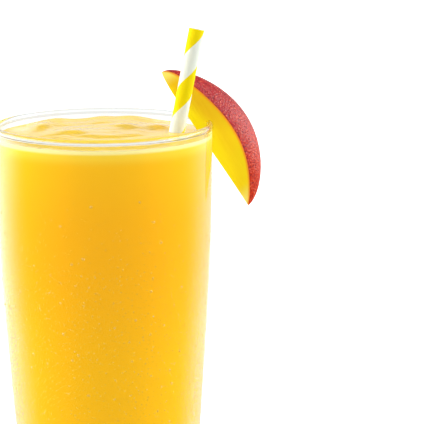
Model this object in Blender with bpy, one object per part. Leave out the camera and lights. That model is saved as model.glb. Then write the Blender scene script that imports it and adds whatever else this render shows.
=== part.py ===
"""Mango smoothie in a clear tumbler, with a striped paper straw and a wedge of mango on the rim.

Blender 4.5 script, metres, +Z up. The origin is the middle of the glass's flat underside, on
the glass's axis. The front of the drink faces -Y, and the fruit hangs on the rim at +X.
"""
import math

import bmesh
import bpy
from mathutils import Vector

# The tumbler: its upper part is a cylinder, which runs softly into a cone towards the foot. The
# lip is a round bead, a little thicker than the wall.
GLASS_HEIGHT = 0.150
RIM_RADIUS = 0.042
LIP_RADIUS = 0.0012
BEAD_START = -24
BEAD_END = 232
NECK = 0.00012
NECK_RUN = 0.0005
WALL = 0.0017
TAPER_SLOPE = 0.0642
TAPER_START = 0.0462
TAPER_BLEND = 0.012
BASE_THICKNESS = 0.013
FOOT_ROUND = 0.003
FLOOR_ROUND = 0.006
GLASS_SIDES = 60

# The drink: its surface is a low dome with soft lumps on it, and clings a little to the wall
CLEARANCE = 0.0003
FILL_DEPTH = 0.0046
CLING_HEIGHT = 0.00025
CLING_REACH = 0.0012
SWIRL_HEIGHT = 0.00008
SWIRL_SPACING = 0.011
SURFACE_RINGS = 15

# Lumps on the surface, each as place in X and Y, half width in X and Y, and height. The last is
# the dome.
LUMPS = (
    (0.0115, 0.0360, 0.0075, 0.0120, 0.0012),
    (-0.0005, 0.0360, 0.0050, 0.0120, 0.0009),
    (-0.0190, 0.0330, 0.0050, 0.0090, 0.0009),
    (-0.0240, 0.0190, 0.0040, 0.0110, 0.0012),
    (0.0085, 0.0140, 0.0065, 0.0090, 0.0011),
    (0.0215, 0.0120, 0.0060, 0.0070, 0.0010),
    (-0.0130, 0.0000, 0.0060, 0.0060, 0.0008),
    (0.0000, -0.0060, 0.0340, 0.0260, 0.0014),
)

# The paper straw: a wound tube that leans to the right and reaches down almost to the floor
STRAW_RADIUS = 0.0030
STRAW_WALL = 0.00045
STRAW_TOP = (0.03600, -0.0010, GLASS_HEIGHT + 0.03555)
STRAW_LEAN = math.radians(11.25)
STRAW_END_HEIGHT = BASE_THICKNESS + 0.0022
STRAW_SIDES = 28

# The mango wedge: a straight inner edge, a flat cut face to the front and a bulging rind
SLICE_TOP_TIP = (0.0228, 0.0023, GLASS_HEIGHT + 0.0190)
SLICE_DROOP = math.radians(57.7)
SLICE_LENGTH = 0.0630
FLESH_DEPTH = 0.0114
FLESH_SKEW = 1.10
FLESH_FULLNESS_TOP = 0.50
FLESH_FULLNESS_RISE = 0.36
RIND_DEPTH = 0.0187
RIND_SKEW = 1.13
RIND_FULLNESS = 0.56
SLICE_THICKNESS = 0.0170
THICKNESS_FULLNESS = 0.62
INNER_EDGE = 0.0013
INNER_BULGE = 0.0011
INNER_BULGE_PLACE = 0.2
RIND_CREST = 0.62
RIND_START_ANGLE = math.radians(55)
SLICE_STATIONS = 25
RIND_POINTS = 9
SLOT_BELOW_RIM = 0.016
SLICE_CUTTER_GROWTH = 0.00045

SHARP_ANGLE = math.radians(35)

COLOURS = {
    "glass": ("#EAF3F1", 0.03),
    "smoothie": ("#F6B31E", 0.35),
    "straw": ("#EDD30B", 0.60),
    "mango_slice": ("#F4C42C", 0.40),
}


def clear_scene():
    for thing in list(bpy.data.objects):
        bpy.data.objects.remove(thing, do_unlink=True)


def linear(hex_colour):
    """An sRGB hex colour as linear red, green, blue and alpha."""
    parts = [int(hex_colour[i : i + 2], 16) / 255 for i in (1, 3, 5)]
    return [c / 12.92 if c <= 0.04045 else ((c + 0.055) / 1.055) ** 2.4 for c in parts] + [1.0]


def make_material(name):
    colour, roughness = COLOURS[name]
    material = bpy.data.materials.new(name)
    material.use_nodes = True
    shader = material.node_tree.nodes["Principled BSDF"]
    shader.inputs["Base Color"].default_value = linear(colour)
    shader.inputs["Roughness"].default_value = roughness
    shader.inputs["Metallic"].default_value = 0.0
    if name == "glass":
        shader.inputs["Transmission Weight"].default_value = 1.0
        shader.inputs["IOR"].default_value = 1.5
    return material


def add_object(name, shape, material=None):
    """A mesh object made from a bmesh, smooth except at its sharp edges."""
    mesh = bpy.data.meshes.new(name)
    shape.to_mesh(mesh)
    shape.free()
    mesh.shade_smooth()
    mesh.set_sharp_from_angle(angle=SHARP_ANGLE)
    thing = bpy.data.objects.new(name, mesh)
    bpy.context.collection.objects.link(thing)
    if material:
        mesh.materials.append(material)
    return thing


def make_cutter(name, shape):
    thing = add_object(name, shape)
    thing.hide_render = True
    thing.display_type = "WIRE"
    return thing


def cut(thing, cutter):
    boolean = thing.modifiers.new(cutter.name, "BOOLEAN")
    boolean.operation = "DIFFERENCE"
    boolean.solver = "EXACT"
    boolean.object = cutter


def bridge(shape, lower, upper):
    """Faces between two rings of equally many vertices."""
    count = len(lower)
    for i in range(count):
        j = (i + 1) % count
        shape.faces.new((lower[i], lower[j], upper[j], upper[i]))


def circle(sides):
    return [2 * math.pi * i / sides for i in range(sides)]


def revolve(profile, sides, height_at=None):
    """A closed body turned round Z. The profile runs from the axis below to the axis above,
    with the body on its left. A point whose height is None takes it from height_at."""
    shape = bmesh.new()
    rings = []
    for radius, height in profile:
        angles = circle(sides) if radius > 0 else [0.0]
        places = [(radius * math.cos(a), radius * math.sin(a)) for a in angles]
        rings.append([
            shape.verts.new((x, y, height_at(x, y) if height is None else height))
            for x, y in places
        ])
    for lower, upper in zip(rings, rings[1:]):
        if len(lower) > 1 and len(upper) > 1:
            bridge(shape, lower, upper)
            continue
        for i in range(sides):
            j = (i + 1) % sides
            if len(lower) == 1:
                shape.faces.new((lower[0], upper[j], upper[i]))
            else:
                shape.faces.new((lower[i], lower[j], upper[0]))
    return shape


def tube(outer, inner, low, high, sides):
    """A straight pipe round Z, open at both ends."""
    shape = bmesh.new()
    corners = ((outer, low), (outer, high), (inner, high), (inner, low))
    rings = [
        [shape.verts.new((r * math.cos(a), r * math.sin(a), z)) for a in circle(sides)]
        for r, z in corners
    ]
    for lower, upper in zip(rings, rings[1:] + rings[:1]):
        bridge(shape, lower, upper)
    return shape


def outer_radius(height):
    """The glass's outer radius: nearly constant under the rim, then falling as a cone."""
    beyond = (GLASS_HEIGHT - height - TAPER_START) / TAPER_BLEND
    return RIM_RADIUS - NECK - TAPER_SLOPE * TAPER_BLEND * math.log1p(math.exp(beyond))


def inner_radius(height):
    return outer_radius(height) - WALL


def spaced(start, end, count):
    return [start + (end - start) * i / (count - 1) for i in range(count)]


def arc(centre, radius, start, end, count):
    """Points on an arc in the plane of radius and height, with angles in degrees."""
    return [
        (
            centre[0] + radius * math.cos(math.radians(a)),
            centre[1] + radius * math.sin(math.radians(a)),
        )
        for a in spaced(start, end, count)
    ]


def glass_profile():
    foot_corner = (outer_radius(FOOT_ROUND) - FOOT_ROUND, FOOT_ROUND)
    floor_top = BASE_THICKNESS + FLOOR_ROUND
    floor_corner = (inner_radius(floor_top) - FLOOR_ROUND, floor_top)
    lip_centre = (RIM_RADIUS - LIP_RADIUS, GLASS_HEIGHT - LIP_RADIUS)
    bead = arc(lip_centre, LIP_RADIUS, BEAD_START, BEAD_END, 10)
    neck_out = bead[0][1] - NECK_RUN
    neck_in = bead[-1][1] - NECK_RUN
    points = [(0.0, 0.0)]
    points += arc(foot_corner, FOOT_ROUND, -90, 0, 4)
    points += [(outer_radius(z), z) for z in spaced(FOOT_ROUND, neck_out, 12)[1:]]
    points += bead
    points += [(inner_radius(z), z) for z in spaced(neck_in, floor_top, 11)[:-1]]
    points += arc(floor_corner, FLOOR_ROUND, 0, -90, 5)
    points += [(0.0, BASE_THICKNESS)]
    return points


def make_glass():
    return add_object("glass", revolve(glass_profile(), GLASS_SIDES), make_material("glass"))


def surface_height(x, y):
    """The drink's surface: lumps and a faint swirl, rising where it clings to the wall."""
    height = GLASS_HEIGHT - FILL_DEPTH
    for lump_x, lump_y, wide, deep, tall in LUMPS:
        away = ((x - lump_x) / wide) ** 2 + ((y - lump_y) / deep) ** 2
        height += tall * math.exp(-away)
    out = math.hypot(x, y)
    turns = out / SWIRL_SPACING - math.atan2(y, x) / (2 * math.pi)
    edge = inner_radius(GLASS_HEIGHT) - out
    calm = min(1.0, out / SWIRL_SPACING)
    height += SWIRL_HEIGHT * calm * math.sin(2 * math.pi * turns)
    return height + CLING_HEIGHT * math.exp(-edge / CLING_REACH)


def drink_profile():
    floor = BASE_THICKNESS + CLEARANCE
    floor_top = BASE_THICKNESS + FLOOR_ROUND
    corner_radius = FLOOR_ROUND - CLEARANCE
    corner = (inner_radius(floor_top) - FLOOR_ROUND, floor_top)
    top_wall = GLASS_HEIGHT - FILL_DEPTH
    edge = inner_radius(top_wall) - CLEARANCE
    points = [(0.0, floor)]
    points += arc(corner, corner_radius, -90, 0, 5)
    side = spaced(floor_top, top_wall, 12)[1:]
    points += [(inner_radius(z) - CLEARANCE, z) for z in side]
    points += [(r, None) for r in spaced(edge, edge / SURFACE_RINGS, SURFACE_RINGS)]
    points += [(0.0, None)]
    return points


def make_drink():
    shape = revolve(drink_profile(), GLASS_SIDES, surface_height)
    return add_object("smoothie", shape, make_material("smoothie"))


def straw_length():
    return (STRAW_TOP[2] - STRAW_END_HEIGHT) / math.cos(STRAW_LEAN)


def lay_along_straw(thing):
    """Puts an object that is made round Z on the straw's axis, with its zero at the low end."""
    along = Vector((math.sin(STRAW_LEAN), 0.0, math.cos(STRAW_LEAN)))
    thing.location = Vector(STRAW_TOP) - along * straw_length()
    thing.rotation_euler = (0.0, STRAW_LEAN, 0.0)


def make_straw():
    shape = tube(STRAW_RADIUS, STRAW_RADIUS - STRAW_WALL, 0.0, straw_length(), STRAW_SIDES)
    straw = add_object("straw", shape, make_material("straw"))
    lay_along_straw(straw)
    return straw


def make_straw_cutter():
    """A pipe a little larger than the straw all round, so that drink stands in its bore."""
    outer = STRAW_RADIUS + CLEARANCE
    inner = STRAW_RADIUS - STRAW_WALL - CLEARANCE
    shape = tube(outer, inner, -CLEARANCE, straw_length(), STRAW_SIDES)
    cutter = make_cutter("straw_cutter", shape)
    lay_along_straw(cutter)
    return cutter


def bulge(along):
    """How far the inner edge bows outwards: most near the top tip, and nothing at the tips."""
    return math.sqrt(along) * (1 - along) ** 2


def slice_section(along):
    """One cross-section, as points in depth away from the front and height over the inner
    edge. It starts at the inner edge and runs up the front face, over the rind and back."""
    flesh_fullness = FLESH_FULLNESS_TOP + FLESH_FULLNESS_RISE * along
    flesh = FLESH_DEPTH * math.sin(math.pi * along**FLESH_SKEW) ** flesh_fullness
    rind = RIND_DEPTH * math.sin(math.pi * along**RIND_SKEW) ** RIND_FULLNESS
    thick = SLICE_THICKNESS * math.sin(math.pi * along) ** THICKNESS_FULLNESS
    inner = min(INNER_EDGE, thick / 2)
    low = -INNER_BULGE * bulge(along) / bulge(INNER_BULGE_PLACE)
    crest = RIND_CREST * thick
    start = RIND_START_ANGLE
    centre = (flesh - rind * math.cos(start)) / (1 - math.cos(start))
    high = rind - centre
    deep = crest / math.sin(start)
    end = math.asin((thick - crest) / deep)
    points = [(0.0, low + (flesh - low) * share) for share in (0.0, 1 / 3, 2 / 3)]
    for turn in spaced(-start, end, RIND_POINTS):
        points.append((crest + deep * math.sin(turn), centre + high * math.cos(turn)))
    back_depth, back_height = points[-1]
    for share in (2 / 3, 1 / 3, 0.0):
        depth = inner + (back_depth - inner) * share
        points.append((depth, low + (back_height - low) * share))
    return points


def slice_shape():
    """The wedge along X from its top tip, with depth along Y and its height along Z."""
    shape = bmesh.new()
    rings = []
    for i in range(SLICE_STATIONS):
        along = (1 - math.cos(math.pi * (i + 0.5) / SLICE_STATIONS)) / 2
        rings.append([
            shape.verts.new((along * SLICE_LENGTH, depth, height))
            for depth, height in slice_section(along)
        ])
    for lower, upper in zip(rings, rings[1:]):
        bridge(shape, upper, lower)
    for ring, tip_x in ((rings[0], 0.0), (rings[-1], SLICE_LENGTH)):
        tip = shape.verts.new((tip_x, INNER_EDGE / 2, INNER_EDGE / 2))
        for i in range(len(ring)):
            shape.faces.new((ring[i - 1], ring[i], tip))
    bmesh.ops.recalc_face_normals(shape, faces=shape.faces[:])
    return shape


def hang_on_rim(thing):
    thing.location = SLICE_TOP_TIP
    thing.rotation_euler = (0.0, SLICE_DROOP, 0.0)


def make_slice():
    fruit = add_object("mango_slice", slice_shape(), make_material("mango_slice"))
    hang_on_rim(fruit)
    return fruit


def make_slice_cutter():
    """The wedge grown by its clearance, which keeps the drink off the fruit's inner corner."""
    shape = slice_shape()
    shape.normal_update()
    for vertex in shape.verts:
        vertex.co += vertex.normal * SLICE_CUTTER_GROWTH
    cutter = make_cutter("slice_cutter", shape)
    hang_on_rim(cutter)
    return cutter


def make_slot_cutter():
    """A ring as wide as the glass's wall and lip with clearance, which cuts the fruit's slot."""
    low = GLASS_HEIGHT - SLOT_BELOW_RIM
    high = GLASS_HEIGHT + CLEARANCE
    under_lip = GLASS_HEIGHT - 2 * LIP_RADIUS
    lip_inside = RIM_RADIUS - 2 * LIP_RADIUS
    shape = bmesh.new()
    corners = (
        (outer_radius(low) + CLEARANCE, low),
        (RIM_RADIUS + CLEARANCE, high),
        (lip_inside - CLEARANCE, high),
        (lip_inside - CLEARANCE, under_lip),
        (inner_radius(low) - CLEARANCE, low),
    )
    rings = [
        [shape.verts.new((r * math.cos(a), r * math.sin(a), z)) for a in circle(GLASS_SIDES)]
        for r, z in corners
    ]
    for lower, upper in zip(rings, rings[1:] + rings[:1]):
        bridge(shape, lower, upper)
    return make_cutter("slot_cutter", shape)


clear_scene()
make_glass()
drink = make_drink()
make_straw()
fruit = make_slice()
cut(drink, make_straw_cutter())
cut(drink, make_slice_cutter())
cut(fruit, make_slot_cutter())
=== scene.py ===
import math

import bmesh
import bpy
from mathutils import Matrix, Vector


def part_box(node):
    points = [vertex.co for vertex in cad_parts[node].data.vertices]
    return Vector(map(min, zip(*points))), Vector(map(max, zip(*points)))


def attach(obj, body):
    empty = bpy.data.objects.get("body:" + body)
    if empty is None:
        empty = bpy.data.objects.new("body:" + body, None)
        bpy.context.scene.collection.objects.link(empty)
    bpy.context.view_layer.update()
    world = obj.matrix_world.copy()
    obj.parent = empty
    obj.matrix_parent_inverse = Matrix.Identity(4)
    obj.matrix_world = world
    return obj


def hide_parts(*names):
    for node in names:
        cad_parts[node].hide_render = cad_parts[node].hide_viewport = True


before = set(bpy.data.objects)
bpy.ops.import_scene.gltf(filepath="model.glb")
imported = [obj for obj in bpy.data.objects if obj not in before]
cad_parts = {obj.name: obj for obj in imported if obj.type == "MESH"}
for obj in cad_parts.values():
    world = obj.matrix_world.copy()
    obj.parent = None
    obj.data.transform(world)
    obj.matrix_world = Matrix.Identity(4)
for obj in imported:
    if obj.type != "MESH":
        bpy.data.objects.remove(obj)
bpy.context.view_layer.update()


# Camera: a long lens on the photograph's line of sight, a little above the rim and looking down
# over it. It turns slightly to the right, so the tumbler stands left of the middle.
CAMERA_PLACE = (0.0, -0.49695, 0.2261)
CAMERA_YAW = math.radians(4.818)
CAMERA_PITCH = math.radians(12.675)
SENSOR_MM = 36.0
LENS_MM = 110.38
CLIP_START = 0.01

camera_data = bpy.data.cameras.new("camera")
camera_data.sensor_width = SENSOR_MM
camera_data.lens = LENS_MM
camera_data.clip_start = CLIP_START
camera = bpy.data.objects.new("camera", camera_data)
bpy.context.scene.collection.objects.link(camera)
camera.location = CAMERA_PLACE
camera.rotation_euler = (math.pi / 2 - CAMERA_PITCH, 0.0, -CAMERA_YAW)
bpy.context.scene.camera = camera


# Studio: a floor of matt painted board in a soft white surround. Bright panels stand left and right, the
# front is dim, and so is the band over the panels. That is what lights the drink and mirrors in it. The
# camera sees plain white past the drink and through its glass. The exception is the floor near the glass,
# which is painted darker there as a painted shadow of the glass.
FLOOR_SIZE = 12.0
FLOOR_DROP = 0.0002
FLOOR_PAINT = "#F4F4F3"
FLOOR_GLOW = 0.62
FLOOR_BOUNCE = 1.00
# Seen through the glass, the floor near it is painted darker than the rest: a painted shadow of the glass.
FLOOR_PAINTED_SHADOW = 0.90
FLOOR_MIRRORED_FRONT = 0.35
FLOOR_MIRRORED_LEFT = 2.10
FLOOR_MIRRORED_RIGHT = 0.90

# Places on the floor, in X or Y, between which one brightness gives way to the next.
FLOOR_PAINTED_SHADOW_TO_CLEAR = (0.15, 0.60)
FLOOR_LEFT_TO_RIGHT = (0.0, 0.25)
FLOOR_FRONT_TO_BACK = (-0.08, 0.42)
SURROUND_FRONT = 0.62
SURROUND_LEFT = 10.8
SURROUND_RIGHT = 10.0
SURROUND_FOOT = 0.45
SURROUND_BACK = 1.20
SURROUND_UPPER = 0.50
SURROUND_UPPER_BACK = 0.40
SURROUND_ZENITH = 1.00
SEEN_THROUGH = 1.10

# Parts of a direction in X, Y or Z between which one strength gives way to the next. The upper
# band starts lower at the back than in front.
LEFT_TO_RIGHT = (-0.3, 0.3)
FRONT_TO_SIDE = (-0.9, -0.1)
SIDE_TO_BACK = (0.3, 0.8)
FOOT_TO_PANEL = (0.05, 0.30)
UPPER_TO_ZENITH = (0.60, 0.85)
UPPER_STARTS = (0.42, 0.19)
UPPER_IS_FULL = (0.62, 0.27)
SMOOTH = {"interpolation_type": "SMOOTHSTEP"}
NUMBER = {"data_type": "FLOAT"}
PRODUCT = {"operation": "MULTIPLY"}
LARGER = {"operation": "MAXIMUM"}


def linear(hex_colour):
    """An sRGB hex colour as linear red, green, blue and alpha."""
    parts = [int(hex_colour[i : i + 2], 16) / 255 for i in (1, 3, 5)]
    return [c / 12.92 if c <= 0.04045 else ((c + 0.055) / 1.055) ** 2.4 for c in parts] + [1.0]


def add(tree, kind, settings=None, inputs=None):
    """Adds a node with its settings. An input takes a value, or what feeds it: a socket, or a
    node for that node's first output."""
    made = tree.nodes.new(kind)
    for key, value in (settings or {}).items():
        setattr(made, key, value)
    for key, value in (inputs or {}).items():
        source = value.outputs[0] if isinstance(value, bpy.types.Node) else value
        if isinstance(source, bpy.types.NodeSocket):
            tree.links.new(source, made.inputs[key])
        else:
            made.inputs[key].default_value = source
    return made


def new_material(name):
    """An empty node material, and its tree."""
    material = bpy.data.materials.new(name)
    material.use_nodes = True
    material.node_tree.nodes.clear()
    return material, material.node_tree


def change(value, limits, low=0.0, high=1.0):
    """Inputs for a change from low to high while the value goes from one limit to the other."""
    start, end = limits
    return {"Value": value, "From Min": start, "From Max": end, "To Min": low, "To Max": high}


bpy.context.scene.view_settings.view_transform = "Standard"
world = bpy.data.worlds.new("surround")
bpy.context.scene.world = world
world.use_nodes = True
tree = world.node_tree
tree.nodes.clear()
direction = add(tree, "ShaderNodeTexCoord").outputs["Generated"]
toward = add(tree, "ShaderNodeSeparateXYZ", inputs={0: direction}).outputs
across = change(toward["X"], LEFT_TO_RIGHT, SURROUND_LEFT, SURROUND_RIGHT)
side = add(tree, "ShaderNodeMapRange", SMOOTH, across)
foot = add(tree, "ShaderNodeMapRange", SMOOTH, change(toward["Z"], FOOT_TO_PANEL, SURROUND_FOOT, 1.0))
panel = add(tree, "ShaderNodeMath", PRODUCT, {0: side, 1: foot})
round_front = change(toward["Y"], FRONT_TO_SIDE, SURROUND_FRONT, panel)
ahead = add(tree, "ShaderNodeMapRange", SMOOTH, round_front)
behind = add(tree, "ShaderNodeMapRange", SMOOTH, change(toward["Y"], SIDE_TO_BACK))
lower = add(tree, "ShaderNodeMix", NUMBER, {"Factor": behind, "A": ahead, "B": SURROUND_BACK})
starts = add(tree, "ShaderNodeMapRange", SMOOTH, change(toward["Y"], SIDE_TO_BACK, *UPPER_STARTS))
is_full = add(tree, "ShaderNodeMapRange", SMOOTH, change(toward["Y"], SIDE_TO_BACK, *UPPER_IS_FULL))
raised = add(tree, "ShaderNodeMapRange", SMOOTH, change(toward["Z"], (starts, is_full)))
round_band = change(toward["Y"], SIDE_TO_BACK, SURROUND_UPPER, SURROUND_UPPER_BACK)
band = add(tree, "ShaderNodeMapRange", SMOOTH, round_band)
overhead = change(toward["Z"], UPPER_TO_ZENITH, band, SURROUND_ZENITH)
upper = add(tree, "ShaderNodeMapRange", SMOOTH, overhead)
level = add(tree, "ShaderNodeMix", NUMBER, {"Factor": raised, "A": lower, "B": upper})
path = add(tree, "ShaderNodeLightPath").outputs
seen = add(tree, "ShaderNodeMath", LARGER, {0: path["Is Camera Ray"], 1: path["Is Transmission Ray"]})
strength = add(tree, "ShaderNodeMix", NUMBER, {"Factor": seen, "A": level, "B": SEEN_THROUGH})
backdrop = add(tree, "ShaderNodeBackground", inputs={"Strength": strength})
add(tree, "ShaderNodeOutputWorld", inputs={"Surface": backdrop})

shape = bmesh.new()
bmesh.ops.create_grid(shape, x_segments=1, y_segments=1, size=FLOOR_SIZE / 2)
bmesh.ops.translate(shape, verts=shape.verts, vec=(0.0, 0.0, -FLOOR_DROP))
floor_mesh = bpy.data.meshes.new("floor")
shape.to_mesh(floor_mesh)
shape.free()
floor = bpy.data.objects.new("floor", floor_mesh)
bpy.context.scene.collection.objects.link(floor)

# Painted board: matt and white to the camera. Mirrored in the glass and the drink it is darker in front,
# and brighter at the left than at the right. Seen through the glass it is painted darker near the glass,
# as a painted shadow of the glass, and plain white further away.
material, tree = new_material("matt_painted_board")
place = add(tree, "ShaderNodeTexCoord").outputs["Object"]
spot = add(tree, "ShaderNodeSeparateXYZ", inputs={0: place}).outputs
board = add(tree, "ShaderNodeBsdfDiffuse", inputs={"Color": linear(FLOOR_PAINT)})
glow = add(tree, "ShaderNodeEmission", inputs={"Strength": FLOOR_GLOW})
shown = add(tree, "ShaderNodeAddShader", inputs={0: board, 1: glow})
# Painted shadow: seen through the glass, the floor is darker near the glass and white further away.
away = change(spot["Y"], FLOOR_PAINTED_SHADOW_TO_CLEAR, FLOOR_PAINTED_SHADOW, SEEN_THROUGH)
painted_glass_shadow = add(tree, "ShaderNodeMapRange", SMOOTH, away)
through = add(tree, "ShaderNodeEmission", inputs={"Strength": painted_glass_shadow})
across = change(spot["X"], FLOOR_LEFT_TO_RIGHT, FLOOR_MIRRORED_LEFT, FLOOR_MIRRORED_RIGHT)
beside = add(tree, "ShaderNodeMapRange", SMOOTH, across)
along = change(spot["Y"], FLOOR_FRONT_TO_BACK, FLOOR_MIRRORED_FRONT, beside)
mirrored = add(tree, "ShaderNodeMapRange", SMOOTH, along)
path = add(tree, "ShaderNodeLightPath").outputs
sent = {"Factor": path["Is Diffuse Ray"], "A": mirrored, "B": FLOOR_BOUNCE}
bounce = add(tree, "ShaderNodeEmission", inputs={"Strength": add(tree, "ShaderNodeMix", NUMBER, sent)})
unseen = add(tree, "ShaderNodeMixShader", inputs={0: path["Is Transmission Ray"], 1: bounce, 2: through})
painted = add(tree, "ShaderNodeMixShader", inputs={0: path["Is Camera Ray"], 1: unseen, 2: shown})
add(tree, "ShaderNodeOutputMaterial", inputs={"Surface": painted})
floor_mesh.materials.append(material)


# Tumbler: one piece of clear soda-lime glass, pressed and fire-polished, with a rounded lip, a
# thick base and a wall that is straight under the rim and then tapers. It is turned round Z.
GLASS_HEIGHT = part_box("glass")[1].z
RIM_RADIUS = 0.042
LIP_RADIUS = 0.0012
WALL = 0.0017
NECK = 0.00012
NECK_RUN = 0.0003
BEAD_START = -26
BEAD_END = 240
TAPER_SLOPE = 0.0642
TAPER_START = 0.0462
TAPER_BLEND = 0.012
BASE_THICKNESS = 0.013
FOOT_FLAT_SHARE = 0.6
FOOT_ROUND = 0.003
FLOOR_ROUND = 0.006
GLASS_SIDES = 160
BEAD_POINTS = 37
ROUND_POINTS = 9
OUTER_RINGS = 40
INNER_RINGS = 36
GLASS_COLOUR = "#FBFEFD"
RIPPLE_MM = 50 / 3
DEW_WHITE = "#F6F2E8"
DEW_TOP = 0.06
DEW_LOW = 0.20
DEW_BELOW_RIM = (0.005, 0.085)
DEW_EDGE_ON = (0.36, 0.70)
DEW_SPECK_MM = 5 / 7
DEW_SPECKS = (0.35, 0.65)
DEW_SPECK_AMOUNTS = (0.3, 1.7)


def circle(sides):
    return [2 * math.pi * i / sides for i in range(sides)]


def bridge(shape, lower, upper):
    """Faces between two rings of equally many vertices."""
    for i in range(len(lower)):
        j = (i + 1) % len(lower)
        shape.faces.new((lower[i], lower[j], upper[j], upper[i]))


def revolve(profile, sides, height_at=None):
    """A closed body turned round Z. The profile runs from the axis below to the axis above,
    with the body on its left. A point whose height is None takes it from height_at."""
    shape = bmesh.new()
    rings = []
    for radius, height in profile:
        angles = circle(sides) if radius > 0 else [0.0]
        places = [(radius * math.cos(a), radius * math.sin(a)) for a in angles]
        rings.append([
            shape.verts.new((x, y, height_at(x, y) if height is None else height))
            for x, y in places
        ])
    for lower, upper in zip(rings, rings[1:]):
        if len(lower) > 1 and len(upper) > 1:
            bridge(shape, lower, upper)
            continue
        for i in range(sides):
            j = (i + 1) % sides
            if len(lower) == 1:
                shape.faces.new((lower[0], upper[j], upper[i]))
            else:
                shape.faces.new((lower[i], lower[j], upper[0]))
    return shape


def add_piece(name, shape, sharp_degrees=None):
    """A smooth mesh object from a bmesh, with edges sharper than the angle left sharp."""
    mesh = bpy.data.meshes.new(name)
    shape.to_mesh(mesh)
    shape.free()
    mesh.shade_smooth()
    if sharp_degrees:
        mesh.set_sharp_from_angle(angle=math.radians(sharp_degrees))
    piece = bpy.data.objects.new(name, mesh)
    bpy.context.scene.collection.objects.link(piece)
    return piece


def store(mesh, name, values):
    """Keeps one number for each vertex, for a material to read."""
    mesh.attributes.new(name, "FLOAT", "POINT").data.foreach_set("value", values)


def spaced(start, end, count):
    return [start + (end - start) * i / (count - 1) for i in range(count)]


def arc(centre, radius, start, end, count):
    """Points on an arc in the plane of radius and height, with angles in degrees."""
    return [
        (
            centre[0] + radius * math.cos(math.radians(a)),
            centre[1] + radius * math.sin(math.radians(a)),
        )
        for a in spaced(start, end, count)
    ]


def outer_radius(height):
    """The tumbler's outer radius: nearly constant under the rim, then falling as a cone."""
    beyond = (GLASS_HEIGHT - height - TAPER_START) / TAPER_BLEND
    return RIM_RADIUS - NECK - TAPER_SLOPE * TAPER_BLEND * math.log1p(math.exp(beyond))


def inner_radius(height):
    return outer_radius(height) - WALL


def below_rim(depths):
    return tuple(GLASS_HEIGHT - depth for depth in depths)


def pass_light(tree, surface, inner=0.0):
    """Ends a clear material. Light for what is behind the surface passes straight through it,
    and where inner is 1 everything does."""
    path = add(tree, "ShaderNodeLightPath").outputs
    light = add(tree, "ShaderNodeMath", LARGER, {0: path["Is Shadow Ray"], 1: path["Is Diffuse Ray"]})
    passed = add(tree, "ShaderNodeMath", LARGER, {0: light, 1: inner})
    clear = add(tree, "ShaderNodeBsdfTransparent")
    shown = add(tree, "ShaderNodeMixShader", inputs={0: passed, 1: surface, 2: clear})
    add(tree, "ShaderNodeOutputMaterial", inputs={"Surface": shown})


lip_centre = (RIM_RADIUS - LIP_RADIUS, GLASS_HEIGHT - LIP_RADIUS)
foot_centre = (outer_radius(FOOT_ROUND) - FOOT_ROUND, FOOT_ROUND)
floor_top = BASE_THICKNESS + FLOOR_ROUND
floor_centre = (inner_radius(floor_top) - FLOOR_ROUND, floor_top)
bead = arc(lip_centre, LIP_RADIUS, BEAD_START, BEAD_END, BEAD_POINTS)
outer_top = bead[0][1] - NECK_RUN
inner_top = bead[-1][1] - NECK_RUN
profile = [(0.0, 0.0), (outer_radius(0.0) * FOOT_FLAT_SHARE, 0.0)]
profile += arc(foot_centre, FOOT_ROUND, -90, 0, ROUND_POINTS)
profile += [(outer_radius(z), z) for z in spaced(FOOT_ROUND, outer_top, OUTER_RINGS)[1:]]
profile += bead
profile += [(inner_radius(z), z) for z in spaced(inner_top, floor_top, INNER_RINGS)[:-1]]
profile += arc(floor_centre, FLOOR_ROUND, 0, -90, ROUND_POINTS)
profile += [(0.0, BASE_THICKNESS)]
tumbler = add_piece("tumbler", revolve(profile, GLASS_SIDES))
outside = [
    float(math.hypot(v.co.x, v.co.y) > outer_radius(v.co.z) - WALL / 2 and v.co.z > FOOT_ROUND)
    for v in tumbler.data.vertices
]
store(tumbler.data, "outside", outside)

# Clear polished glass: bright at grazing angles and see-through elsewhere, with a faint ripple.
# Thin specked dew veils its outside where that is seen edge-on, and more of it low down. Its
# specks are drawn coarser than real ones, so that they show.
material, tree = new_material("soda_lime_glass")
place = add(tree, "ShaderNodeTexCoord").outputs["Object"]
ripple = add(tree, "ShaderNodeTexNoise", inputs={"Vector": place, "Scale": 1000 / RIPPLE_MM})
wave = add(tree, "ShaderNodeBump", inputs={"Height": ripple, "Strength": 0.05, "Distance": 0.0002})
glass = add(
    tree,
    "ShaderNodeBsdfPrincipled",
    inputs={
        "Base Color": linear(GLASS_COLOUR),
        "Roughness": 0.01,
        "IOR": 1.5,
        "Transmission Weight": 1.0,
        "Normal": wave,
    },
)
spot = add(tree, "ShaderNodeSeparateXYZ", inputs={0: place}).outputs
down = change(spot["Z"], below_rim(DEW_BELOW_RIM), DEW_TOP, DEW_LOW)
cold = add(tree, "ShaderNodeMapRange", SMOOTH, down)
specks = add(
    tree, "ShaderNodeTexNoise", inputs={"Vector": place, "Scale": 1000 / DEW_SPECK_MM, "Detail": 2.0}
)
grain = add(
    tree, "ShaderNodeMapRange", SMOOTH, change(specks.outputs[0], DEW_SPECKS, *DEW_SPECK_AMOUNTS)
)
facing = add(tree, "ShaderNodeLayerWeight", inputs={"Blend": 0.5}).outputs["Facing"]
veil = add(tree, "ShaderNodeMapRange", SMOOTH, change(facing, DEW_EDGE_ON))
outer = add(tree, "ShaderNodeAttribute", {"attribute_name": "outside"}).outputs["Fac"]
for factor in (cold, grain, outer):
    veil = add(tree, "ShaderNodeMath", {**PRODUCT, "use_clamp": True}, {0: veil, 1: factor})
dew = add(tree, "ShaderNodeBsdfDiffuse", inputs={"Color": linear(DEW_WHITE)})
pass_light(tree, add(tree, "ShaderNodeMixShader", inputs={0: veil, 1: glass, 2: dew}))
tumbler.data.materials.append(material)
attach(tumbler, "root")
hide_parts("glass")


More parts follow.
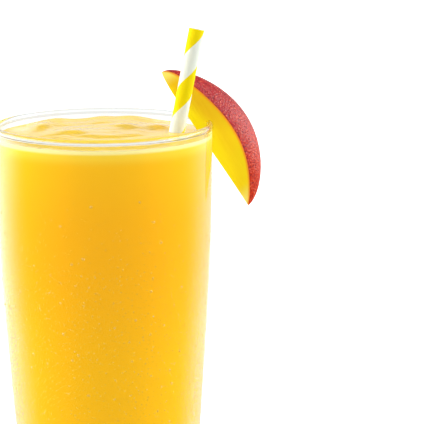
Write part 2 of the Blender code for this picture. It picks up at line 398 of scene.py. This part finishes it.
# Condensation: drops of water on the outside of the cold glass, fine ones all over and a few
# larger ones. They start under the rim and crowd together lower down. Each is a low dome.
DROPS_START = 0.136
DROPS_FULL = 0.085
DROP_LOWEST = 0.006
DROP_SINK = 0.00001
DROP_FLATNESS = 0.50
# Share and colour of the painted highlight mixed into each drop, which makes it a lighter speck.
DROP_PAINTED_GLINT_SHARE = 0.14
DROP_PAINTED_GLINT = "#FFE888"
DROP_TREMBLE_MM = 0.5
DROP_WALL_RINGS = 40
MOSTLY_SMALL = 2.0

# Name, most to a square metre, nearest to each other, smallest and largest radius, sides, rings
# and seed of each kind of drop.
DROP_KINDS = (
    ("fine_drops", 3.6e5, 0.00090, 0.00014, 0.00038, 6, 2, 11),
    ("large_drops", 2.0e4, 0.0032, 0.00036, 0.00068, 14, 4, 4),
)


def build_drops_tree():
    """Geometry nodes that scatter drops over a wall, each standing on it and cut off flat."""
    tree = bpy.data.node_groups.new("scattered_drops", "GeometryNodeTree")
    for name, kind in (
        ("Wall", "Geometry"),
        ("Most per square metre", "Float"),
        ("Nearest", "Float"),
        ("Smallest radius", "Float"),
        ("Largest radius", "Float"),
        ("Sides", "Int"),
        ("Rings", "Int"),
        ("Seed", "Int"),
        ("Water", "Material"),
    ):
        tree.interface.new_socket(name=name, in_out="INPUT", socket_type="NodeSocket" + kind)
    tree.interface.new_socket(name="Drops", in_out="OUTPUT", socket_type="NodeSocketGeometry")
    given = add(tree, "NodeGroupInput").outputs
    place = add(tree, "GeometryNodeInputPosition")
    spot = add(tree, "ShaderNodeSeparateXYZ", inputs={0: place}).outputs
    crowding = change(spot["Z"], (DROPS_START, DROPS_FULL))
    points = add(
        tree,
        "GeometryNodeDistributePointsOnFaces",
        {"distribute_method": "POISSON"},
        {
            "Mesh": given["Wall"],
            "Distance Min": given["Nearest"],
            "Density Max": given["Most per square metre"],
            "Density Factor": add(tree, "ShaderNodeMapRange", SMOOTH, crowding),
            "Seed": given["Seed"],
        },
    )
    cone = add(
        tree,
        "GeometryNodeMeshCone",
        inputs={
            "Vertices": given["Sides"],
            "Side Segments": given["Rings"],
            "Radius Top": 0.0,
            "Radius Bottom": 1.0,
            "Depth": 1.0,
        },
    )
    rest = add(tree, "ShaderNodeMath", {"operation": "SUBTRACT"}, {0: 2.0, 1: spot["Z"]})
    swell = add(tree, "ShaderNodeMath", PRODUCT, {0: spot["Z"], 1: rest})
    low_dome = add(tree, "ShaderNodeMath", PRODUCT, {0: swell, 1: DROP_FLATNESS})
    domed = add(tree, "ShaderNodeCombineXYZ", inputs={0: spot["X"], 1: spot["Y"], 2: low_dome})
    dome = add(
        tree, "GeometryNodeSetPosition", inputs={"Geometry": cone.outputs["Mesh"], "Position": domed}
    )
    faceted = add(
        tree, "GeometryNodeSetShadeSmooth", inputs={"Geometry": dome, "Shade Smooth": False}
    )
    smooth = add(
        tree,
        "GeometryNodeSetShadeSmooth",
        inputs={"Geometry": faceted, "Selection": cone.outputs["Side"]},
    )
    draw = add(
        tree, "FunctionNodeRandomValue", NUMBER, {2: 0.0, 3: 1.0, "Seed": given["Seed"]}
    )
    share = add(
        tree, "ShaderNodeMath", {"operation": "POWER"}, {0: draw.outputs[1], 1: MOSTLY_SMALL}
    )
    radius = add(
        tree,
        "ShaderNodeMapRange",
        inputs=change(share, (0.0, 1.0), given["Smallest radius"], given["Largest radius"]),
    )
    standing = add(
        tree,
        "GeometryNodeInstanceOnPoints",
        inputs={
            "Points": points.outputs["Points"],
            "Instance": smooth,
            "Rotation": points.outputs["Rotation"],
            "Scale": radius,
        },
    )
    sunk = add(
        tree,
        "GeometryNodeTranslateInstances",
        inputs={"Instances": standing, "Translation": (0.0, 0.0, -DROP_SINK)},
    )
    real = add(tree, "GeometryNodeRealizeInstances", inputs={"Geometry": sunk})
    wet = add(
        tree, "GeometryNodeSetMaterial", inputs={"Geometry": real, "Material": given["Water"]}
    )
    add(tree, "NodeGroupOutput", inputs={0: wet})
    return tree


def add_ring(shape, radius, height, sides):
    """A level ring of vertices round Z."""
    return [
        shape.verts.new((radius * math.cos(a), radius * math.sin(a), height))
        for a in circle(sides)
    ]


def settle(piece):
    """Makes a piece's mesh what its modifiers give, and removes them."""
    evaluated = piece.evaluated_get(bpy.context.evaluated_depsgraph_get())
    mesh = bpy.data.meshes.new_from_object(evaluated)
    piece.modifiers.clear()
    piece.data = mesh


# Clear water: each drop bends light like a small lens and shines at its edge. A little pale yellow diffuse
# is mixed in as a painted highlight, so each drop shows as a lighter speck. Light passes unbent from its
# flat back into the glass.
water, tree = new_material("condensed_water")
place = add(tree, "ShaderNodeTexCoord").outputs["Object"]
tremble = add(tree, "ShaderNodeTexNoise", inputs={"Vector": place, "Scale": 1000 / DROP_TREMBLE_MM})
uneven = add(tree, "ShaderNodeBump", inputs={"Height": tremble, "Strength": 0.1, "Distance": 0.0001})
lens = add(
    tree,
    "ShaderNodeBsdfPrincipled",
    inputs={
        "Roughness": 0.02,
        "IOR": 1.333,
        "Specular IOR Level": 0.5,
        "Transmission Weight": 1.0,
        "Normal": uneven,
    },
)
# Painted highlight: a pale yellow diffuse share that makes each drop show lighter.
painted_glint = add(tree, "ShaderNodeBsdfDiffuse", inputs={"Color": linear(DROP_PAINTED_GLINT)})
drop = add(tree, "ShaderNodeMixShader", inputs={0: DROP_PAINTED_GLINT_SHARE, 1: lens, 2: painted_glint})
back_face = add(tree, "ShaderNodeNewGeometry").outputs["Backfacing"]
pass_light(tree, drop, back_face)

scatter = build_drops_tree()
sockets = {item.name: item.identifier for item in scatter.interface.items_tree if item.in_out == "INPUT"}
for name, per_square_metre, nearest, smallest, largest, sides, rows, seed in DROP_KINDS:
    shape = bmesh.new()
    rings = [
        add_ring(shape, outer_radius(z), z, GLASS_SIDES)
        for z in spaced(DROP_LOWEST, DROPS_START, DROP_WALL_RINGS)
    ]
    for lower, upper in zip(rings, rings[1:]):
        bridge(shape, lower, upper)
    drops = add_piece(name, shape)
    scattering = drops.modifiers.new("scatter", "NODES")
    scattering.node_group = scatter
    for key, value in (
        ("Most per square metre", per_square_metre),
        ("Nearest", nearest),
        ("Smallest radius", smallest),
        ("Largest radius", largest),
        ("Sides", sides),
        ("Rings", rows),
        ("Seed", seed),
        ("Water", water),
    ):
        scattering[sockets[key]] = value
    settle(drops)
    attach(drops, "root")


# Smoothie: blended mango, thick enough to lie in soft lumps and swirls, and clinging to the wall
# a little above them. It fills the tumbler and reaches just into its wall, so no gap shows.
REACH_INTO_WALL = 0.00005
FILL_DEPTH = 0.0046
CLING_HEIGHT = 0.00025
CLING_REACH = 0.0012
SWIRL_HEIGHT = 0.00008
SWIRL_SPACING = 0.011
DRINK_SIDES = 192
WALL_RINGS = 30
SURFACE_RINGS = 72
FACES_UP = 0.5
DRINK_SHARP_DEGREES = 60

# Lumps on the surface, each as place in X and Y, half width in X and Y, and height.
LUMPS = (
    (0.0115, 0.0360, 0.0075, 0.0120, 0.0012),
    (-0.0005, 0.0360, 0.0050, 0.0120, 0.0009),
    (-0.0190, 0.0330, 0.0050, 0.0090, 0.0009),
    (-0.0240, 0.0190, 0.0040, 0.0110, 0.0012),
    (0.0085, 0.0140, 0.0065, 0.0090, 0.0011),
    (0.0215, 0.0120, 0.0060, 0.0070, 0.0010),
    (-0.0130, 0.0000, 0.0060, 0.0060, 0.0008),
    (0.0000, -0.0060, 0.0340, 0.0260, 0.0014),
)
DRINK_LOW = "#F2B400"
DRINK_DEEP = "#F2AC00"
DRINK_TOP = "#F3B606"
DRINK_OPEN = "#F3C810"
DRINK_UNDER_FROTH = "#F5CC34"
DRINK_FROTH = "#F7E999"

# The first are heights and the others depths below the rim. Between the two of each, one colour
# gives way to the next.
LOW_TO_DEEP = (0.055, 0.105)
DEEP_TO_TOP = (0.036, 0.004)
TOP_TO_UNDER_FROTH = (0.0105, 0.0056)
UNDER_FROTH_TO_FROTH = (0.0060, 0.0049)
PULP_MM = 10 / 9
FOLD_MM = 20 / 3
COLOUR = {"data_type": "RGBA"}


def surface_height(x, y):
    """The drink's surface: lumps and a faint swirl, rising where it clings to the wall."""
    height = GLASS_HEIGHT - FILL_DEPTH
    for lump_x, lump_y, wide, deep, tall in LUMPS:
        away = ((x - lump_x) / wide) ** 2 + ((y - lump_y) / deep) ** 2
        height += tall * math.exp(-away)
    out = math.hypot(x, y)
    turns = out / SWIRL_SPACING - math.atan2(y, x) / (2 * math.pi)
    edge = inner_radius(GLASS_HEIGHT) - out
    calm = min(1.0, out / SWIRL_SPACING)
    height += SWIRL_HEIGHT * calm * math.sin(2 * math.pi * turns)
    return height + CLING_HEIGHT * math.exp(-max(0.0, edge) / CLING_REACH)


top_wall = GLASS_HEIGHT - FILL_DEPTH
edge = inner_radius(top_wall) + REACH_INTO_WALL
profile = [(0.0, BASE_THICKNESS - REACH_INTO_WALL)]
profile += arc(floor_centre, FLOOR_ROUND + REACH_INTO_WALL, -90, 0, ROUND_POINTS)
profile += [(inner_radius(z) + REACH_INTO_WALL, z) for z in spaced(floor_top, top_wall, WALL_RINGS)[1:]]
profile += [(r, None) for r in spaced(edge, edge / SURFACE_RINGS, SURFACE_RINGS)]
profile += [(0.0, None)]
shape = revolve(profile, DRINK_SIDES, surface_height)
shape.normal_update()
for face in shape.faces:
    face.material_index = int(face.normal.z > FACES_UP)
smoothie = add_piece("smoothie_body", shape, DRINK_SHARP_DEGREES)

# Blended fruit against glass: opaque and even, with no shine of its own, as it wets the wall.
# It is yellower near the top, where light comes in from above, with a pale line of froth.
at_wall, tree = new_material("blended_mango_at_glass")
place = add(tree, "ShaderNodeTexCoord").outputs["Object"]
spot = add(tree, "ShaderNodeSeparateXYZ", inputs={0: place}).outputs
colour = linear(DRINK_LOW)
for limits, next_colour in (
    (LOW_TO_DEEP, DRINK_DEEP),
    (below_rim(DEEP_TO_TOP), DRINK_TOP),
    (below_rim(TOP_TO_UNDER_FROTH), DRINK_UNDER_FROTH),
    (below_rim(UNDER_FROTH_TO_FROTH), DRINK_FROTH),
):
    higher = add(tree, "ShaderNodeMapRange", SMOOTH, change(spot["Z"], limits))
    colour = add(tree, "ShaderNodeMix", COLOUR, {0: higher, 6: colour, 7: linear(next_colour)}).outputs[2]
pressed = add(
    tree,
    "ShaderNodeBsdfPrincipled",
    inputs={"Base Color": colour, "Roughness": 0.6, "Specular IOR Level": 0.0},
)
add(tree, "ShaderNodeOutputMaterial", inputs={"Surface": pressed})

# Blended fruit in the open: the same, but moist, so it mirrors the surround softly at a low angle.
# Fine pulp and soft folds break up what it mirrors.
in_air, tree = new_material("blended_mango_surface")
place = add(tree, "ShaderNodeTexCoord").outputs["Object"]
fibres = add(tree, "ShaderNodeTexNoise", inputs={"Vector": place, "Scale": 1000 / PULP_MM, "Detail": 3.0})
pulp = add(tree, "ShaderNodeBump", inputs={"Height": fibres, "Strength": 0.15, "Distance": 0.0002})
folds = add(
    tree,
    "ShaderNodeTexNoise",
    inputs={"Vector": place, "Scale": 1000 / FOLD_MM, "Detail": 1.0, "Distortion": 0.6},
)
whipped = add(
    tree,
    "ShaderNodeBump",
    inputs={"Height": folds, "Strength": 0.6, "Distance": 0.0004, "Normal": pulp},
)
blended = add(
    tree,
    "ShaderNodeBsdfPrincipled",
    inputs={
        "Base Color": linear(DRINK_OPEN),
        "Roughness": 0.10,
        "IOR": 1.36,
        "Normal": whipped,
    },
)
add(tree, "ShaderNodeOutputMaterial", inputs={"Surface": blended})
smoothie.data.materials.append(at_wall)
smoothie.data.materials.append(in_air)
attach(smoothie, "root")
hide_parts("smoothie")


# Straw: three plies of paper wound into a tube, with a broad yellow stripe wound round white. It
# leans to the right and stands in the drink. The outer ply's edge runs round it as a fine step.
STRAW_RADIUS = 0.0030
STRAW_WALL = 0.00045
STRAW_TOP = (0.03600, -0.0010, GLASS_HEIGHT + 0.03555)
STRAW_LEAN = math.radians(11.25)
STRAW_END_HEIGHT = BASE_THICKNESS + 0.0022
STRAW_SIDES = 56
STRAW_RINGS = 120
STRAW_SHARP_DEGREES = 50
STRIPE_PITCH = 0.0241
STRIPE_START = 0.0058
STRIPE_TURN = 0.25
YELLOW_SHARE = 0.494
STRAW_WHITE = "#E0E6DA"
STRAW_YELLOW = "#E8D102"
PLY_STEP = 0.00006
TOOTH_MM = 0.4

straw_length = (STRAW_TOP[2] - STRAW_END_HEIGHT) / math.cos(STRAW_LEAN)
shape = bmesh.new()
rings = []
for radius in (STRAW_RADIUS, STRAW_RADIUS - STRAW_WALL):
    lengths = spaced(0.0, straw_length, STRAW_RINGS)
    for down in lengths if radius == STRAW_RADIUS else reversed(lengths):
        ring = []
        for turn in circle(STRAW_SIDES):
            wound = (down - STRIPE_START) / STRIPE_PITCH + turn / (2 * math.pi) + STRIPE_TURN
            step = PLY_STEP * (wound % 1.0)
            r = radius - step if radius == STRAW_RADIUS else radius
            ring.append(shape.verts.new((r * math.cos(turn), r * math.sin(turn), -down)))
        rings.append(ring)
for upper, lower in zip(rings, rings[1:] + rings[:1]):
    bridge(shape, lower, upper)
placed = Matrix.Translation(STRAW_TOP) @ Matrix.Rotation(STRAW_LEAN, 4, "Y")
bmesh.ops.transform(shape, matrix=placed, verts=shape.verts)
straw = add_piece("paper_straw", shape, STRAW_SHARP_DEGREES)

# Wound paper: matt, with a fine tooth, drawn coarser than the real one so that it shows. The
# stripe follows the point's turn round the straw's axis and its distance below the top end.
material, tree = new_material("wound_paper")
place = add(tree, "ShaderNodeTexCoord").outputs["Object"]
turned = add(
    tree,
    "ShaderNodeMapping",
    {"vector_type": "TEXTURE"},
    {"Vector": place, "Location": STRAW_TOP, "Rotation": (0.0, STRAW_LEAN, 0.0)},
)
spot = add(tree, "ShaderNodeSeparateXYZ", inputs={0: turned}).outputs
angle = add(tree, "ShaderNodeMath", {"operation": "ARCTAN2"}, {0: spot["Y"], 1: spot["X"]})
turn = add(tree, "ShaderNodeMath", PRODUCT, {0: angle, 1: 1 / (2 * math.pi)})
below = add(
    tree,
    "ShaderNodeMath",
    {"operation": "MULTIPLY_ADD"},
    {0: spot["Z"], 1: -1 / STRIPE_PITCH, 2: STRIPE_TURN - STRIPE_START / STRIPE_PITCH},
)
phase = add(tree, "ShaderNodeMath", {"operation": "ADD"}, {0: turn, 1: below})
wrapped = add(tree, "ShaderNodeMath", {"operation": "FRACT"}, {0: phase})
yellow = add(tree, "ShaderNodeMath", {"operation": "GREATER_THAN"}, {0: wrapped, 1: 1 - YELLOW_SHARE})
striped = {0: yellow, 6: linear(STRAW_WHITE), 7: linear(STRAW_YELLOW)}
tooth = add(tree, "ShaderNodeTexNoise", inputs={"Vector": turned, "Scale": 1000 / TOOTH_MM, "Detail": 2.0})
grain = add(tree, "ShaderNodeBump", inputs={"Height": tooth, "Strength": 0.3, "Distance": 0.00005})
paper = add(
    tree,
    "ShaderNodeBsdfPrincipled",
    inputs={
        "Base Color": add(tree, "ShaderNodeMix", COLOUR, striped).outputs[2],
        "Roughness": 0.8,
        "Specular IOR Level": 0.1,
        "Subsurface Weight": 0.4,
        "Subsurface Radius": (1.0, 0.9, 0.8),
        "Subsurface Scale": 0.0012,
        "Normal": grain,
    },
)
add(tree, "ShaderNodeOutputMaterial", inputs={"Surface": paper})
straw.data.materials.append(material)
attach(straw, "root")
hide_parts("straw")


# Mango wedge: a slice cut from the side of a ripe mango, with a straight inner edge, flat cut
# faces and the rind left on. A slot cut across it holds it on the rim.
SLICE_TOP_TIP = (0.0228, 0.0023, GLASS_HEIGHT + 0.0190)
SLICE_DROOP = math.radians(57.7)
SLICE_LENGTH = 0.0630
FLESH_DEPTH = 0.0114
FLESH_SKEW = 1.10
FLESH_FULLNESS_TOP = 0.50
FLESH_FULLNESS_RISE = 0.36
RIND_DEPTH = 0.0187
RIND_SKEW = 1.13
RIND_FULLNESS = 0.56
SLICE_THICKNESS = 0.0170
THICKNESS_FULLNESS = 0.62
INNER_EDGE = 0.0013
INNER_BULGE = 0.0011
INNER_BULGE_PLACE = 0.2
RIND_CREST = 0.62
RIND_START_ANGLE = math.radians(55)
TIP_SHARE = 0.001
SLICE_STATIONS = 97
RIND_POINTS = 33
FACE_POINTS = 12
SLICE_SHARP_DEGREES = 35
SLOT_BELOW_RIM = 0.016
SLOT_LIP_POINTS = 13
FLESH_MIDDLE = "#ECC008"
FLESH_EDGE = "#FEF004"
FLESH_TIP = "#FBEF74"
FLESH_BY_RIND = "#EE8A1E"
RIND_RED = "#A8161F"
RIND_ORANGE = "#C22C00"
RIND_PALE = "#DC6A46"
RIND_DARK = "#780C14"

# The first two are distances from the rind and the others places along the slice. Between the
# two of each, the colour of the flesh changes.
RIND_LINE = (0.0012, 0.0)
EDGE_TO_MIDDLE = (0.0105, 0.0035)
TO_TOP_TIP = (0.007, 0.001)
TO_LOW_TIP = (SLICE_LENGTH - 0.009, SLICE_LENGTH - 0.001)
LOW_TO_RIPER = (SLICE_LENGTH * 0.75, SLICE_LENGTH * 0.35)
RIPENESS_LOW = 0.45
FIBRE_MM = (20 / 3, 10 / 7, 10 / 7)

# The first are places along the slice and the others levels of the pores' pattern. Between the
# two of each, the colour of the rind changes.
RED_TO_ORANGE = (0.02, 0.06)
PORE_MM = 2 / 3
PALE_PORES = (0.55, 0.75)
DARK_PORES = (0.46, 0.32)


def bulge(along):
    """How far the inner edge bows outwards: most near the top tip, and nothing at the tips."""
    return math.sqrt(along) * (1 - along) ** 2


def flesh_height(along):
    """How far the flesh of the front face reaches from the inner edge."""
    fullness = FLESH_FULLNESS_TOP + FLESH_FULLNESS_RISE * along
    return FLESH_DEPTH * math.sin(math.pi * along**FLESH_SKEW) ** fullness


def slice_section(along):
    """One cross-section, as points in depth away from the front and height over the inner
    edge. It starts at the inner edge and runs up the front face, over the rind and back."""
    flesh = flesh_height(along)
    rind = RIND_DEPTH * math.sin(math.pi * along**RIND_SKEW) ** RIND_FULLNESS
    thick = SLICE_THICKNESS * math.sin(math.pi * along) ** THICKNESS_FULLNESS
    inner = min(INNER_EDGE, thick / 2)
    low = -INNER_BULGE * bulge(along) / bulge(INNER_BULGE_PLACE)
    crest = RIND_CREST * thick
    start = RIND_START_ANGLE
    centre = (flesh - rind * math.cos(start)) / (1 - math.cos(start))
    high = rind - centre
    deep = crest / math.sin(start)
    end = math.asin((thick - crest) / deep)
    front = spaced(0.0, 1.0, FACE_POINTS + 1)[:-1]
    points = [(0.0, low + (flesh - low) * share) for share in front]
    for turn in spaced(-start, end, RIND_POINTS):
        points.append((crest + deep * math.sin(turn), centre + high * math.cos(turn)))
    back_depth, back_height = points[-1]
    for share in reversed(front):
        depth = inner + (back_depth - inner) * share
        points.append((depth, low + (back_height - low) * share))
    return points


shape = bmesh.new()
rings = []
for i in range(SLICE_STATIONS):
    along = (1 - math.cos(math.pi * (i + 0.5) / SLICE_STATIONS)) / 2
    rings.append([
        shape.verts.new((along * SLICE_LENGTH, depth, height))
        for depth, height in slice_section(along)
    ])
for left, right in zip(rings, rings[1:]):
    for i in range(len(left)):
        j = (i + 1) % len(left)
        face = shape.faces.new((right[i], right[j], left[j], left[i]))
        face.material_index = int(FACE_POINTS <= i < FACE_POINTS + RIND_POINTS - 1)
for ring, tip_x in ((rings[0], 0.0), (rings[-1], SLICE_LENGTH)):
    tip = shape.verts.new((tip_x, INNER_EDGE / 2, INNER_EDGE / 2))
    for i in range(len(ring)):
        face = shape.faces.new((ring[i - 1], ring[i], tip))
        face.material_index = 1
bmesh.ops.recalc_face_normals(shape, faces=shape.faces[:])
hung = Matrix.Translation(SLICE_TOP_TIP) @ Matrix.Rotation(SLICE_DROOP, 4, "Y")
bmesh.ops.transform(shape, matrix=hung, verts=shape.verts)
wedge = add_piece("mango_wedge", shape, SLICE_SHARP_DEGREES)

# The slot has the form of the rim and wall that it fits over. It is cut 0.05 mm tight all round,
# so that no gap shows.
slot_foot = GLASS_HEIGHT - SLOT_BELOW_RIM
shape = bmesh.new()
corners = (
    (outer_radius(slot_foot) - REACH_INTO_WALL, slot_foot),
    (outer_radius(inner_top) - REACH_INTO_WALL, inner_top),
    *arc(lip_centre, LIP_RADIUS - REACH_INTO_WALL, BEAD_START, BEAD_END, SLOT_LIP_POINTS),
    (inner_radius(inner_top) + REACH_INTO_WALL, inner_top),
    (inner_radius(slot_foot) + REACH_INTO_WALL, slot_foot),
)
rings = [add_ring(shape, radius, height, GLASS_SIDES) for radius, height in corners]
for lower, upper in zip(rings, rings[1:] + rings[:1]):
    bridge(shape, lower, upper)
knife = add_piece("slot_knife", shape)
slot = wedge.modifiers.new("slot", "BOOLEAN")
slot.operation = "DIFFERENCE"
slot.solver = "EXACT"
slot.object = knife

# Ripe flesh: moist and soft, paler yellow at its thin edges and low down, and deeper towards the
# rind, where a thin orange line runs. Its fibres follow the slice's length.
flesh, tree = new_material("ripe_mango_flesh")
in_slice = {"Location": SLICE_TOP_TIP, "Rotation": (0.0, SLICE_DROOP, 0.0)}
place = add(tree, "ShaderNodeTexCoord").outputs["Object"]
local = add(tree, "ShaderNodeMapping", {"vector_type": "TEXTURE"}, {"Vector": place, **in_slice})
spot = add(tree, "ShaderNodeSeparateXYZ", inputs={0: local}).outputs
from_rind = add(tree, "ShaderNodeAttribute", {"attribute_name": "from_rind"}).outputs["Fac"]
riper = add(tree, "ShaderNodeMapRange", SMOOTH, change(spot["X"], LOW_TO_RIPER, RIPENESS_LOW))
middle = add(tree, "ShaderNodeMapRange", SMOOTH, change(from_rind, EDGE_TO_MIDDLE, 0.0, riper))
top_tip = add(tree, "ShaderNodeMapRange", SMOOTH, change(spot["X"], TO_TOP_TIP))
low_tip = add(tree, "ShaderNodeMapRange", SMOOTH, change(spot["X"], TO_LOW_TIP))
thin = add(tree, "ShaderNodeMath", LARGER, {0: top_tip, 1: low_tip})
line = add(tree, "ShaderNodeMapRange", SMOOTH, change(from_rind, RIND_LINE))
colour = linear(FLESH_EDGE)
for share, next_colour in ((middle, FLESH_MIDDLE), (thin, FLESH_TIP), (line, FLESH_BY_RIND)):
    colour = add(tree, "ShaderNodeMix", COLOUR, {0: share, 6: colour, 7: linear(next_colour)}).outputs[2]
per_metre = tuple(1000 / size for size in FIBRE_MM)
drawn = add(tree, "ShaderNodeMapping", inputs={"Vector": local, "Scale": per_metre})
fibres = add(tree, "ShaderNodeTexNoise", inputs={"Vector": drawn, "Scale": 1.0, "Detail": 3.0})
cut_face = add(tree, "ShaderNodeBump", inputs={"Height": fibres, "Strength": 0.35, "Distance": 0.0003})
moist = add(
    tree,
    "ShaderNodeBsdfPrincipled",
    inputs={"Base Color": colour, "Roughness": 0.40, "Specular IOR Level": 0.15, "Normal": cut_face},
)
add(tree, "ShaderNodeOutputMaterial", inputs={"Surface": moist})

# Mango rind: thin, smooth and waxy, crimson above and orange-red below, with fine pale and dark
# pores all over, two thirds of a millimetre apart.
rind, tree = new_material("waxy_mango_rind")
place = add(tree, "ShaderNodeTexCoord").outputs["Object"]
local = add(tree, "ShaderNodeMapping", {"vector_type": "TEXTURE"}, {"Vector": place, **in_slice})
spot = add(tree, "ShaderNodeSeparateXYZ", inputs={0: local}).outputs
pores = add(tree, "ShaderNodeTexNoise", inputs={"Vector": local, "Scale": 1000 / PORE_MM, "Detail": 2.0})
colour = linear(RIND_RED)
for value, limits, next_colour in (
    (spot["X"], RED_TO_ORANGE, RIND_ORANGE),
    (pores.outputs[0], DARK_PORES, RIND_DARK),
    (pores.outputs[0], PALE_PORES, RIND_PALE),
):
    share = add(tree, "ShaderNodeMapRange", SMOOTH, change(value, limits))
    colour = add(tree, "ShaderNodeMix", COLOUR, {0: share, 6: colour, 7: linear(next_colour)}).outputs[2]
dimples = add(tree, "ShaderNodeBump", inputs={"Height": pores, "Strength": 0.8, "Distance": 0.0004})
waxy = add(
    tree,
    "ShaderNodeBsdfPrincipled",
    inputs={
        "Base Color": colour,
        "Roughness": 0.45,
        "Specular IOR Level": 0.05,
        "Coat Weight": 0.42,
        "Coat Roughness": 0.10,
        "Coat Normal": dimples,
        "Normal": dimples,
    },
)
add(tree, "ShaderNodeOutputMaterial", inputs={"Surface": waxy})
wedge.data.materials.append(flesh)
wedge.data.materials.append(rind)
settle(wedge)
bpy.data.objects.remove(knife, do_unlink=True)

unhung = hung.inverted()
distances = []
for vertex in wedge.data.vertices:
    at = unhung @ vertex.co
    along = min(max(at.x / SLICE_LENGTH, TIP_SHARE), 1 - TIP_SHARE)
    distances.append(max(0.0, flesh_height(along) - at.z))
store(wedge.data, "from_rind", distances)
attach(wedge, "root")
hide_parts("mango_slice")
